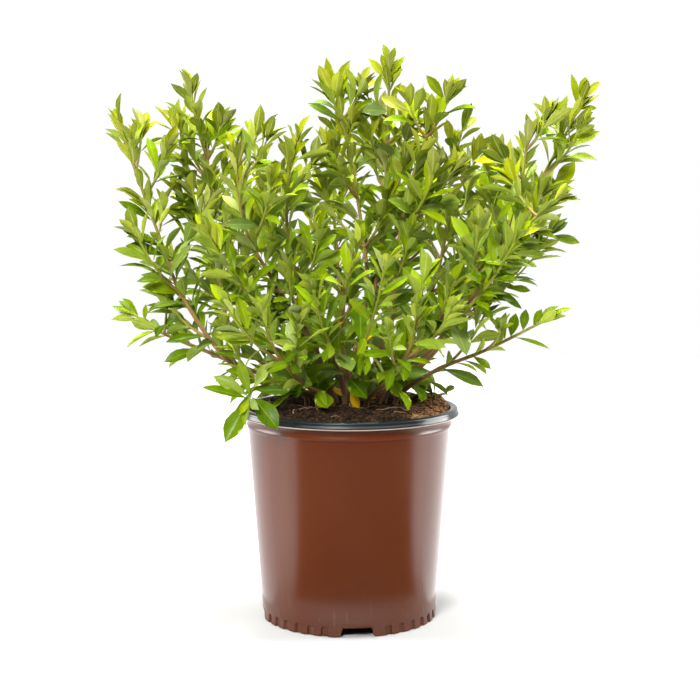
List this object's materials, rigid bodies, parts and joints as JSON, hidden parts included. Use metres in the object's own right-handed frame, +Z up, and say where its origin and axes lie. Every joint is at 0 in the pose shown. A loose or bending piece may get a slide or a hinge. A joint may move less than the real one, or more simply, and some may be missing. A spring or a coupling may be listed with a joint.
{
  "type": "potted gardenia",
  "caption": "Bushy evergreen gardenia shrub with upright leafy stems, growing in a round plastic nursery pot filled with potting mix.",
  "frame": {"origin": "middle of the pot's base, on the surface that the pot stands on", "axes": "+Z up along the pot's axis; -Y is the front, which the picture shows; +X is to the right seen from the front"},
  "size_m": [0.5041, 0.3615, 0.5842],
  "materials": {
    "pot": "satin brown moulded plastic, black on the rolled lip and inside",
    "potting_mix": "matt, crumbly, dark brown, with bark chips",
    "leafy_stem": "glossy fresh green leaves, yellow-green at the tips, on brown woody stems"
  },
  "bodies": {
    "root": {"pot": "pot", "potting_mix": "potting_mix", "stem_left_outer": "leafy_stem", "stem_left_second": "leafy_stem", "stem_left_inner": "leafy_stem", "stem_centre_left": "leafy_stem", "stem_centre": "leafy_stem", "stem_centre_front": "leafy_stem", "stem_centre_tall": "leafy_stem", "stem_right_inner": "leafy_stem", "stem_right_mid": "leafy_stem", "stem_right_arch": "leafy_stem", "stem_right_outer": "leafy_stem", "stem_right_low_arch": "leafy_stem", "stem_low_right": "leafy_stem", "stem_low_left": "leafy_stem", "stem_front_right": "leafy_stem", "stem_front_left_low": "leafy_stem", "stem_front_left": "leafy_stem", "stem_back_left": "leafy_stem", "stem_back_centre": "leafy_stem", "stem_back_right": "leafy_stem", "stem_back_far_right": "leafy_stem", "stem_back_far_left": "leafy_stem", "stem_back_low": "leafy_stem"}
  },
  "joints": []
}
